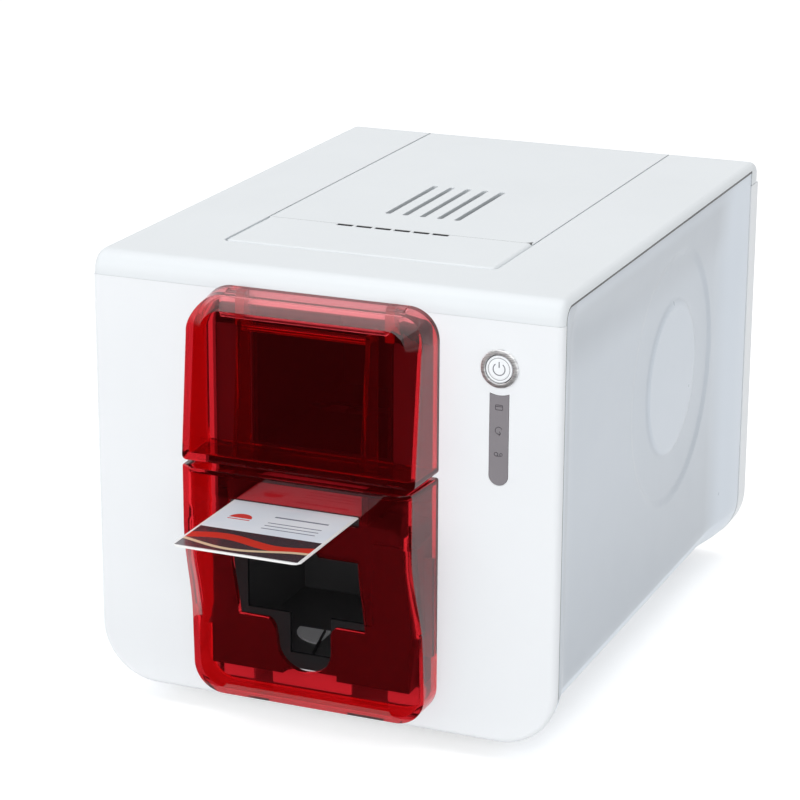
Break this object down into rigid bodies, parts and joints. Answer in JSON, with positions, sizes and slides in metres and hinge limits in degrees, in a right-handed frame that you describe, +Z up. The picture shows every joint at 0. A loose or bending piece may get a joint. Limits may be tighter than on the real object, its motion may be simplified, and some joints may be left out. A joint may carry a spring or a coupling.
{
  "type": "id card printer",
  "caption": "Desktop card printer with a white casing, rear-hinged lid, clear red feeder cover and output hopper, gear-driven card path, ribbon spools and print head.",
  "frame": {"origin": "middle of the footprint, on the surface that the printer stands on, with the printed card counted in the footprint", "axes": "+Z up, -Y is the front with the hoods and the card, +X is the right-hand side seen from the front"},
  "size_m": [0.205, 0.3526, 0.1955],
  "materials": {
    "white_moulding": "satin gloss",
    "pale_top_moulding": "satin gloss",
    "grey_side_moulding": "satin",
    "clear_red_moulding": "clear tinted",
    "black_moulding": "fine texture",
    "brushed_metal": "brushed",
    "smoked_lens": "smoked lens",
    "rubber_feet": "matt",
    "roller_rubber": "ground rubber",
    "zinc_steel": "zinc plated",
    "gear_nylon": "moulded",
    "gear_brass": "turned",
    "motor_black": "painted",
    "head_aluminium": "anodised",
    "ribbon_film": "film",
    "circuit_board": "solder mask",
    "card_plastic": "laminated"
  },
  "bodies": {
    "casing": {"base_tray": "pale_top_moulding", "front_panel": "white_moulding", "top_shell": "pale_top_moulding", "rear_panel": "pale_top_moulding", "left_side_panel": "grey_side_moulding", "right_side_panel": "grey_side_moulding", "rubber_feet": "rubber_feet", "casing_screws": "zinc_steel", "feeder_bin": "black_moulding", "button_ring": "brushed_metal", "lamp_strip": "smoked_lens", "lamp_board": "circuit_board", "left_chassis_plate": "zinc_steel", "right_chassis_plate": "zinc_steel", "chassis_rods": "zinc_steel", "card_rails": "black_moulding", "exit_sill": "black_moulding", "feed_motor": "motor_black", "spool_hubs": "black_moulding", "ribbon_web": "ribbon_film", "main_board": "circuit_board", "board_standoffs": "zinc_steel", "power_inlet": "black_moulding", "usb_socket": "black_moulding", "network_socket": "black_moulding", "fan_frame": "black_moulding"},
    "lid": {"top_lid": "pale_top_moulding", "lid_front_strip": "pale_top_moulding", "lid_hinge_pins": "zinc_steel", "lid_catch": "black_moulding", "head_bracket": "zinc_steel", "print_head": "head_aluminium", "head_springs": "zinc_steel"},
    "feeder_cover": {"feeder_hood": "clear_red_moulding", "feeder_hood_pins": "zinc_steel"},
    "output_hopper": {"output_hood": "clear_red_moulding", "output_bucket": "black_moulding"},
    "power_key": {"power_button": "white_moulding"},
    "card": {"printed_card": "card_plastic"},
    "exit_drive": {"exit_roller": "roller_rubber", "exit_gear": "gear_nylon"},
    "front_drive": {"front_roller": "roller_rubber", "front_gear": "gear_nylon"},
    "rear_drive": {"rear_roller": "roller_rubber", "rear_gear": "gear_nylon"},
    "platen_drive": {"platen_roller": "roller_rubber", "platen_gear": "gear_nylon"},
    "feed_drive": {"feed_roller": "roller_rubber", "feed_gear": "gear_nylon"},
    "idler_front": {"front_idler": "gear_nylon"},
    "idler_middle": {"middle_idler": "gear_nylon"},
    "idler_rear": {"rear_idler": "gear_nylon"},
    "pinion_drive": {"motor_pinion": "gear_brass"},
    "exit_pinch": {"exit_pinch_roller": "zinc_steel"},
    "front_pinch": {"front_pinch_roller": "zinc_steel"},
    "rear_pinch": {"rear_pinch_roller": "zinc_steel"},
    "supply_spool": {"ribbon_supply": "ribbon_film"},
    "take_up_spool": {"ribbon_take_up": "ribbon_film"},
    "fan": {"fan_rotor": "black_moulding"}
  },
  "joints": [
    {"name": "lid_hinge", "type": "hinge", "parent": "casing", "child": "lid", "pos_m": [0, 0.1668, 0.186], "axis": [-1, 0, 0], "range_deg": [0, 85]},
    {"name": "feeder_cover_hinge", "type": "hinge", "parent": "casing", "child": "feeder_cover", "pos_m": [0, -0.0985, 0.185], "axis": [-1, 0, 0], "range_deg": [0, 90]},
    {"name": "hopper_slide", "type": "slide", "parent": "casing", "child": "output_hopper", "axis": [0, -1, 0], "range_m": [0, 0.03]},
    {"name": "power_press", "type": "slide", "parent": "casing", "child": "power_key", "axis": [0, 1, 0], "range_m": [0, 0.001], "stiffness_N_per_m": 600},
    {"name": "card_feed", "type": "slide", "parent": "casing", "child": "card", "axis": [0, -1, 0], "range_m": [-0.16, 0.02]},
    {"name": "platen_spin", "type": "hinge", "parent": "casing", "child": "platen_drive", "pos_m": [0, 0.0809, 0.0989], "axis": [1, 0, 0], "continuous": true},
    {"name": "exit_spin", "type": "hinge", "parent": "casing", "child": "exit_drive", "pos_m": [0, -0.0817, 0.0989], "axis": [1, 0, 0], "continuous": true},
    {"name": "front_spin", "type": "hinge", "parent": "casing", "child": "front_drive", "pos_m": [0, -0.0275, 0.0989], "axis": [1, 0, 0], "continuous": true},
    {"name": "rear_spin", "type": "hinge", "parent": "casing", "child": "rear_drive", "pos_m": [0, 0.0267, 0.0989], "axis": [1, 0, 0], "continuous": true},
    {"name": "feed_spin", "type": "hinge", "parent": "casing", "child": "feed_drive", "pos_m": [0, -0.03847, 0.11813], "axis": [1, 0, 0], "continuous": true},
    {"name": "front_idler_spin", "type": "hinge", "parent": "casing", "child": "idler_front", "pos_m": [0, -0.0546, 0.0989], "axis": [1, 0, 0], "continuous": true},
    {"name": "middle_idler_spin", "type": "hinge", "parent": "casing", "child": "idler_middle", "pos_m": [0, -0.0004, 0.0989], "axis": [1, 0, 0], "continuous": true},
    {"name": "rear_idler_spin", "type": "hinge", "parent": "casing", "child": "idler_rear", "pos_m": [0, 0.0538, 0.0989], "axis": [1, 0, 0], "continuous": true},
    {"name": "pinion_spin", "type": "hinge", "parent": "casing", "child": "pinion_drive", "pos_m": [0, 0.0538, 0.0738], "axis": [1, 0, 0], "continuous": true},
    {"name": "exit_pinch_spin", "type": "hinge", "parent": "casing", "child": "exit_pinch", "pos_m": [0, -0.0817, 0.11076], "axis": [1, 0, 0], "continuous": true},
    {"name": "front_pinch_spin", "type": "hinge", "parent": "casing", "child": "front_pinch", "pos_m": [0, -0.0275, 0.11076], "axis": [1, 0, 0], "continuous": true},
    {"name": "rear_pinch_spin", "type": "hinge", "parent": "casing", "child": "rear_pinch", "pos_m": [0, 0.0267, 0.11076], "axis": [1, 0, 0], "continuous": true},
    {"name": "supply_spin", "type": "hinge", "parent": "casing", "child": "supply_spool", "pos_m": [0, 0.1203, 0.157], "axis": [1, 0, 0], "continuous": true},
    {"name": "take_up_spin", "type": "hinge", "parent": "casing", "child": "take_up_spool", "pos_m": [0, 0.0163, 0.157], "axis": [1, 0, 0], "continuous": true},
    {"name": "fan_spin", "type": "hinge", "parent": "casing", "child": "fan", "pos_m": [-0.07, 0.1643, 0.146], "axis": [0, 1, 0], "continuous": true}
  ],
  "couplings": [
    {"joint": "exit_spin", "follows": "platen_spin", "ratio": 1},
    {"joint": "front_spin", "follows": "platen_spin", "ratio": 1},
    {"joint": "rear_spin", "follows": "platen_spin", "ratio": 1},
    {"joint": "feed_spin", "follows": "platen_spin", "ratio": 1.3333},
    {"joint": "front_idler_spin", "follows": "platen_spin", "ratio": -0.42105},
    {"joint": "middle_idler_spin", "follows": "platen_spin", "ratio": -0.42105},
    {"joint": "rear_idler_spin", "follows": "platen_spin", "ratio": -0.42105},
    {"joint": "pinion_spin", "follows": "platen_spin", "ratio": 1.3333},
    {"joint": "take_up_spin", "follows": "supply_spin", "ratio": 1.5556}
  ]
}
